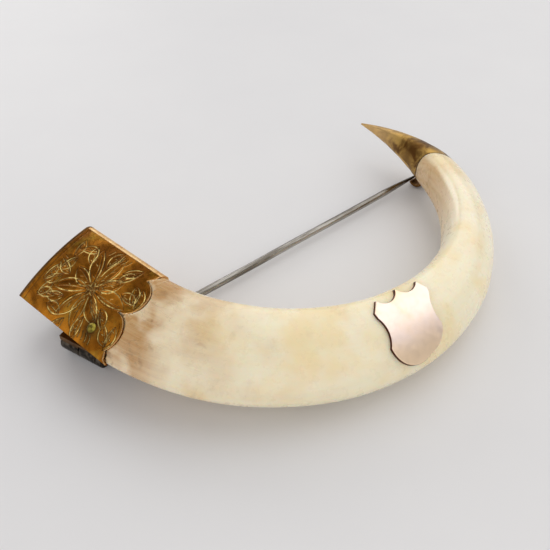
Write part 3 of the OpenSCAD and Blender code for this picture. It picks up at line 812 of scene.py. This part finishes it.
def shieldInside(x, y):
    # inside the polygon of both halves or a bulge circle, and outside the scallops and waists
    w, l = shield["width"], shield["length"]
    right = [(px * w, (py + shield["handCut"] * lift) * l) for px, py, lift in shield["corners"]]
    left = [(-px * w, (py - shield["handCut"] * lift) * l) for px, py, lift in shield["corners"]]
    outline = [(0, l / 2)] + right + [(0, -l / 2)] + left[::-1]
    crossings = np.zeros(x.shape, int)
    for (ax, ay), (bx, by) in zip(outline, outline[1:] + outline[:1]):
        spans = (ay > y) != (by > y)
        at = ax + (y - ay) * (bx - ax) / (by - ay if by != ay else 1e-9)
        crossings += spans & (x < at)
    inside = crossings % 2 == 1
    for key, lift in (("bulge", 0.5), ("scallop", 0.5), ("waist", 1)):
        px, py, r = shield[key]
        for side in (-1, 1):
            within = np.hypot(x - side * px * w, y - (py + side * shield["handCut"] * lift) * l) < r * w
            inside = inside | within if key == "bulge" else inside & ~within
    return inside


def shieldPlace(x, y, z):
    # bend about an axis across the plate, tilt to the tusk's slope, then out to the shield's place
    turn, tall = shield["turn"], shield["reach"]
    radius = blendOf(innerRidge(turn), outerRidge(turn), shield["out"])
    low = frontHeight(turn, radius + tall * 0.6)
    high = frontHeight(turn, radius - tall)
    tilt = math.atan2(high - low, tall * 1.6)
    base = frontHeight(turn, radius) + shield["thick"] * 0.9
    # the former's height at y, with z measured from its surface
    bendR = shield["bend"]
    zz = np.sqrt(np.maximum((bendR + z) ** 2 - y ** 2, 0)) - bendR
    yy = y * math.cos(tilt) - zz * math.sin(tilt) - radius
    up = y * math.sin(tilt) + zz * math.cos(tilt) + base
    c, s = direction(turn + 90)
    return np.stack([x * c - yy * s, x * s + yy * c, up], -1) + centre


def buildShield():
    # the outline's distance along each ray by halving; rings from the back's middle, round the
    # bevelled edge, to the front's middle
    ray = np.linspace(0, 360, shield["rays"], endpoint=False)
    d = direction(ray)
    low, high = np.zeros(ray.shape), np.full(ray.shape, 6.5)
    for step in range(26):
        middle = (low + high) / 2
        inside = shieldInside(middle * d[:, 0], middle * d[:, 1])
        low, high = np.where(inside, middle, low), np.where(inside, high, middle)
    edge = low
    bevel, thick = shield["bevel"], shield["thick"]
    back = [(share, 0.0, -thick) for share in np.linspace(0.03, 1, 14)]
    corner = np.linspace(0, np.pi / 2, 6)
    side = [(1.0, 0.0, -thick * 0.66), (1.0, 0.0, -thick * 0.33), (1.0, 0.0, -bevel)]
    rounding = [(1.0, bevel * (1 - math.cos(a)), -bevel * (1 - math.sin(a))) for a in corner[1:]]
    front = [(share, bevel, 0.0) for share in np.linspace(0.98, 0.03, shield["rings"])]
    rows = back + side + rounding + front
    lean = math.radians(-shield["lean"])
    c, s = math.cos(lean), math.sin(lean)
    grid, edgeMark, footMark = [], [], []
    for share, inset, z in rows:
        r = np.maximum(edge * share - inset * share, 0.01)
        x, y = r * d[:, 0], r * d[:, 1]
        # a worn, faintly dished face
        dish = 0.02 * np.sin(0.9 * x + 0.4) * np.cos(0.7 * y) if z == 0.0 else 0
        grid.append(shieldPlace(x * c - y * s, x * s + y * c, z + dish))
        # painted reflection: a share that grows towards the shield's foot
        footMark.append(smoothStep(0.5 - y / shield["length"]))
        edgeMark.append(np.full(ray.shape, 1.0 if -thick < z < -0.02 else 0.0))
    piece = loft("shield_plate", np.array(grid))
    paint(piece, "foot", np.array(footMark))
    paint(piece, "edge", np.array(edgeMark))
    return piece


# pin, hinge and catch
pin = {"radius": 0.52, "taper": 9.0, "over": 1.5, "sides": 40}
barrel = {
    "radius": 1.25, "rivet": 0.32, "fit": 0.02, "loose": 0.08, "gap": 0.1, "near": 0.8, "far": 2.9,
    "middle": 2.6, "shift": 0.1, "bevel": 0.12, "lip": 0.04,
}
catch = {"radius": 1.5, "thick": 0.42, "width": 2.6, "from": 60.0, "to": 315.0, "round": 0.1}


def buildPin():
    # a circle carried along X whose radius follows the taper's curve to the sharp end
    start = hingeAt[0] + barrel["radius"] * 0.9
    end = catchMiddle[0] + pin["over"]
    share = join([np.linspace(0, 1, 60)[:-1] * 0.8, 0.8 + 0.2 * np.linspace(0, 1, 60)])
    x = start + (end - start) * share
    left = (end - x) / pin["taper"]
    radius = pin["radius"] * np.clip(left, 0, 1) ** 0.75
    radius = np.where(left >= 1, pin["radius"], np.maximum(radius, 0.04))
    angle = np.linspace(0, 2 * np.pi, pin["sides"], endpoint=False)
    wobble = 0.02 * np.sin(x * 0.31)
    y = hingeAt[1] + radius[:, None] * np.cos(angle) + wobble[:, None] * (share[:, None] > 0.1)
    z = hingeAt[2] + radius[:, None] * np.sin(angle)
    grid = np.stack([np.broadcast_to(x[:, None], y.shape), y, z], -1)
    return loft("pin_stem", grid)


def ringPiece(name, spans, bore):
    # a rounded rectangle between bore and barrel, turned about the hinge axis, for each span
    up = np.array([0, 0, 1.0])
    side = np.cross(up, hingeAxis)
    angle = np.linspace(0, 2 * np.pi, 72, endpoint=False)[:, None, None]
    corner = np.linspace(0, np.pi / 2, 6)
    r, b = barrel["radius"], barrel["bevel"]
    lip = bore + barrel["lip"]
    radial = join([r - b + b * np.sin(corner), r - b + b * np.cos(corner),
            [lip, bore, bore, lip]])
    ring = (np.cos(angle) * side + np.sin(angle) * up) * radial[None, :, None]
    pieces = []
    for index, (start, length) in enumerate(spans):
        along = join([b - b * np.sin(np.pi / 2 - corner), length - b + b * np.sin(corner),
                [length, length, 0.0, 0.0]])
        grid = hingeAt + hingeAxis * (start + along)[None, :, None] + ring
        pieces.append(loft(name if index == 0 else name + "_" + str(index), grid, ends=False, wrap=True))
    return pieces


def buildCatch():
    # a rounded strip section carried round the curl, thinned at both lips
    turn = np.linspace(catch["from"], catch["to"], 90)
    corner = join([np.linspace(0, np.pi / 2, 5) + q * np.pi / 2 for q in range(4)])
    b = catch["round"]
    sx = np.sign(np.cos(corner + 1e-6)) * (catch["width"] / 2 - b) + b * np.cos(corner)
    sr = np.sign(np.sin(corner + 1e-6)) * (catch["thick"] / 2 - b) + b * np.sin(corner)
    fade = np.minimum(1, 0.25 + np.minimum(turn - turn[0], turn[-1] - turn) / 8)
    radius = catch["radius"] - catch["thick"] / 2 + fade[:, None] * sr[None, :]
    c, s = direction(turn)[:, 0:1], direction(turn)[:, 1:2]
    grid = np.stack([catchMiddle[0] + fade[:, None] ** 0.2 * sx[None, :],
            catchMiddle[1] + radius * c, catch["radius"] + radius * s], -1)
    return loft("catch_hook", grid)


# metal finishes
metal = {
    "faceDeep": (128, 76, 16), "faceAmber": (194, 124, 36), "faceOlive": (170, 132, 48),
    "cutGlint": (255, 226, 140), "cutShade": (78, 40, 8), "sideRose": (246, 208, 150),
    "tipGold": (206, 166, 90), "tipDark": (96, 62, 24), "tipReflectionTan": (214, 178, 124),
    "rose": (252, 234, 222), "peach": (255, 226, 190), "pink": (255, 232, 222),
    "edgeBrown": (88, 44, 28), "aged": (128, 92, 50), "steel": (176, 172, 166),
    "darkSteel": (92, 84, 74), "rivet": (150, 138, 58), "filler": (90, 60, 36),
    "tarnish": (48, 40, 24), "frostDeep": (222, 170, 108), "frostBright": (244, 208, 160),
    "tipRimShadow": (62, 38, 20), "fillerDark": (60, 40, 26), "agedDark": (98, 68, 36),
    "steelBlack": (40, 36, 32), "steelWorn": (110, 104, 96), "rivetDark": (120, 104, 44),
}
metal = {name: srgb(*colour) for name, colour in metal.items()}


def faceFinish():
    # engraved gold: amber and brown patches of old lacquer and wear, painted shade in the cuts and on one
    # half of each leaf, and painted glints in the deeper cuts
    f = Finish("engravedGold", metal["faceAmber"], Metallic=1.0, Roughness=0.3)
    amber = f.spread(f.noise(230, 4, distortion=0.7), 0.38, 0.62)
    colour = f.mix(amber, metal["faceDeep"], metal["faceAmber"])
    olive = f.spread(f.noise(330, 3, distortion=0.4), 0.55, 0.75, 0.0, 0.7)
    colour = f.mix(olive, colour, metal["faceOlive"])
    # painted shade on one half of each leaf, and in the cuts
    colour = f.mix(f.spread(f.attribute("leafShade"), 0.1, 1.0, 0.0, 0.5), colour, metal["cutShade"])
    colour = f.mix(f.spread(f.attribute("cut"), 0.04, 0.3, 0.0, 0.8), colour, metal["cutShade"])
    # painted glints in the deeper cuts, broken up by noise
    glints = f.spread(f.noise(900, 3, 0.6, distortion=0.5), 0.40, 0.58, 0.25, 1.0)
    colour = f.mix(f.product(f.spread(f.attribute("cut"), 0.35, 0.8), glints), colour,
            metal["cutGlint"])
    colour = f.mix(f.product(f.attribute("tarnish"), 0.9), colour, metal["tarnish"])
    colour = f.mix(f.attribute("rimEdge"), colour, metal["sideRose"])
    return f.worn(colour, (1800, 5), 0.2, 0.42, (5200, 4), 0.00001, 0.6)


def frostedFinish():
    # the rose-toned shoulder, frosted by fine punch marks
    f = Finish("frostedRoseGold", metal["sideRose"], Metallic=1.0, Roughness=0.42)
    grains = f.noise(5200, 3, 0.6)
    colour = f.mix(f.spread(f.noise(700, 4), 0.35, 0.65), metal["frostDeep"], metal["sideRose"])
    colour = f.mix(f.spread(grains, 0.55, 0.75), colour, metal["frostBright"])
    f.set("Base Color", colour)
    f.set("Roughness", f.spread(grains, 0.35, 0.65, 0.3, 0.5))
    f.bump(grains, 0.00004, 0.8)
    return f.material


def tipFinish():
    # plain gold in patches, with a painted dark reflection in a band near the rim and a painted lighter
    # reflection towards the point
    f = Finish("plainTipGold", metal["tipGold"], Metallic=1.0, Roughness=0.3)
    colour = f.mix(f.spread(f.noise(420, 4, distortion=0.5), 0.36, 0.6), metal["tipDark"], metal["tipGold"])
    colour = f.mix(f.product(f.attribute("reflectionBand"), 0.8), colour, metal["tipDark"])
    colour = f.mix(f.product(f.attribute("pointReflection"), 0.8), colour, metal["tipReflectionTan"])
    # painted shadow along the rim
    colour = f.mix(f.attribute("rimEdge"), colour, metal["tipRimShadow"])
    return f.worn(colour, (2200, 4), 0.34, 0.5, (900, 3), 0.00002, 0.5)


def roseFinish():
    # polished rose gold with a soft bloom of handling, a painted reflection that turns pink then peach
    # towards its foot, and dark in its edge
    f = Finish("roseGold", metal["rose"], Metallic=1.0, Roughness=0.2)
    colour = f.mix(f.spread(f.noise(260, 3), 0.4, 0.65), metal["rose"], metal["peach"])
    # painted reflection, pink then peach towards the foot
    colour = f.mix(f.spread(f.attribute("foot"), 0.25, 0.6, 0.0, 0.6), colour, metal["pink"])
    colour = f.mix(f.spread(f.attribute("foot"), 0.6, 1.0, 0.0, 0.9), colour, metal["peach"])
    colour = f.mix(f.attribute("edge"), colour, metal["edgeBrown"])
    return f.worn(colour, (1500, 4), 0.36, 0.48, (700, 3), 0.000015, 0.4)


def wornMetal(name, light, dark, scale, low, high, stretch=None):
    # two tones in patches of the given scale, with roughness between low and high
    f = Finish(name, light, Metallic=1.0, Roughness=high)
    colour = f.mix(f.spread(f.noise(scale, 5, 0.6, stretch), 0.38, 0.66), dark, light)
    rough, fine = ((scale * finer, 4, 0.6, stretch) for finer in (4, 6))
    return f.worn(colour, rough, low, high, fine, 0.00001, 0.6)


def fillerFinish():
    # dull brown cement in two tones
    f = Finish("settingCement", metal["filler"], Roughness=0.8)
    f.set("Base Color", f.mix(f.noise(900, 5), metal["filler"], metal["fillerDark"]))
    f.bump(f.noise(2400, 4), 0.00004, 0.8)
    return f.material


agedGold = wornMetal("agedGold", metal["aged"], metal["agedDark"], 420, 0.35, 0.55)
darkSteel = wornMetal("darkSteel", metal["darkSteel"], metal["steelBlack"], 1200, 0.3, 0.5)
pinSteel = wornMetal("pinSteel", metal["steel"], metal["steelWorn"], 1500, 0.18, 0.34, (0.08, 1, 1))
rivetGold = wornMetal("rivetGold", metal["rivet"], metal["rivetDark"], 1500, 0.25, 0.4)
roseGold = roseFinish()
frosted = frostedFinish()

# the pieces
print("tusk brooch: tusk")
place(buildTusk(), "brooch", "tusk", tuskFinish(), "tusk")
print("tusk brooch: caps")
faceGold = faceFinish()
place(buildCapFace(), "brooch", "cap_gold", faceGold, "cap_front_plate")
place(buildCapSide(), "brooch", "rose_gold", frosted, "cap_side_wall")
place(buildCapBack(), "brooch", "aged_gold", agedGold, "cap_back_plate")
place(buildCapEnd(), "brooch", "cap_gold", agedGold, "cap_end_plate")
place(buildTipCap(), "brooch", "tip_gold", tipFinish(), "tip_cap")
print("tusk brooch: shield")
place(buildShield(), "brooch", "rose_gold", roseGold, "shield_plate")
print("tusk brooch: pin, hinge and catch")
place(buildPin(), "pin", "pin_steel", pinSteel, "pin_stem")
nearStart = barrel["shift"] - barrel["middle"] / 2 - barrel["gap"] - barrel["near"]
farStart = barrel["shift"] + barrel["middle"] / 2 + barrel["gap"]
outerRings = ringPiece("hinge_knuckles", [(nearStart, barrel["near"]), (farStart, barrel["far"])],
        barrel["rivet"] + barrel["fit"])
for ring in outerRings:
    place(ring, "brooch", "dark_steel", darkSteel, "hinge_knuckles")
pinRing = ringPiece("pin_knuckle", [(barrel["shift"] - barrel["middle"] / 2, barrel["middle"])],
        barrel["rivet"] + barrel["loose"])
place(pinRing[0], "pin", "dark_steel", darkSteel, "pin_knuckle")
place(buildCatch(), "brooch", "aged_gold", agedGold, "catch_hook")

keptFinish = {
    "cap_rivet": rivetGold, "shield_pegs": roseGold, "hinge_base": agedGold, "hinge_rivet": pinSteel,
    "catch_saddle": agedGold, "root_filler": fillerFinish(),
}
for name, material in keptFinish.items():
    mesh = frame["nodes"][name].data
    mesh.materials.clear()
    mesh.materials.append(material)

# floor, light and camera
stage = {
    "size": 3.0, "drop": 0.00004, "light": srgb(229, 228, 229), "dark": srgb(224, 223, 225),
    "sky": (0.93, 0.94, 0.96, 1), "skyStrength": 0.41,
}


def buildFloor():
    # one pale square in metres, just under the brooch, in two close tones
    half = stage["size"] / 2
    corners = ((-half, -half), (half, -half), (half, half), (-half, half))
    mesh = bpy.data.meshes.new("floor")
    mesh.from_pydata([(*corner, -stage["drop"]) for corner in corners], [], [(0, 1, 2, 3)])
    floor = addObject("floor", mesh)
    f = Finish("paleFloor", stage["light"], Roughness=0.55)
    f.set("Base Color", f.mix(f.noise(60, 4), stage["light"], stage["dark"]))
    mesh.materials.append(f.material)


lights = {
    "window": {"at": (0.42, 0.02, 0.50), "size": 1.05, "power": 2.8, "colour": (1.0, 0.985, 0.95)},
    "back": {"at": (0.10, 0.60, 0.26), "size": 0.40, "power": 0.9, "colour": (1.0, 0.99, 0.97)},
    "left": {"at": (-0.45, 0.08, 0.22), "size": 0.5, "power": 0.4, "colour": (1.0, 0.98, 0.96)},
    "front": {"at": (-0.10, -0.45, 0.34), "size": 0.6, "power": 0.8, "colour": (1.0, 0.96, 0.91)},
}


def buildLights():
    # round lamps aimed at the origin, and an even sky
    for name, look in lights.items():
        data = bpy.data.lights.new(name, "AREA")
        data.shape = "DISK"
        data.size = look["size"]
        data.energy = look["power"]
        data.color = look["colour"]
        lamp = addObject(name, data)
        at = np.array(look["at"])
        lamp.location = at
        lamp.rotation_euler = lookAlong(-at)
    world = bpy.data.worlds.new("studio")
    world.use_nodes = True
    background = world.node_tree.nodes["Background"].inputs
    background["Color"].default_value = stage["sky"]
    background["Strength"].default_value = stage["skyStrength"]
    bpy.context.scene.world = world
    bpy.context.scene.view_settings.view_transform = "Standard"


def lookAlong(vector):
    # the turn that points a lamp's or camera's -Z along the vector, with its Y up
    return Vector(vector).to_track_quat("-Z", "Y").to_euler()


view = {
    "distance": 92.26, "elevation": 44.0, "azimuth": 39.3, "aimX": -4.6, "aimY": -6.17, "lens": 42.545,
    "sensor": 36, "near": 0.005,
}


def buildCamera():
    # the camera stands back from its aim by the distance, at the elevation and azimuth
    aim = np.array([centre[0] + view["aimX"], centre[1] + view["aimY"], 0])
    e, a = math.radians(view["elevation"]), math.radians(view["azimuth"])
    back = np.array([-math.cos(e) * math.sin(a), -math.cos(e) * math.cos(a), math.sin(e)])
    data = bpy.data.cameras.new("camera")
    data.lens = view["lens"]
    data.sensor_width = view["sensor"]
    data.clip_start = view["near"]
    camera = addObject("camera", data)
    camera.location = (aim + back * view["distance"]) * mm
    camera.rotation_euler = lookAlong(-back)
    bpy.context.scene.camera = camera


print("tusk brooch: floor, light and camera")
buildFloor()
buildLights()
buildCamera()
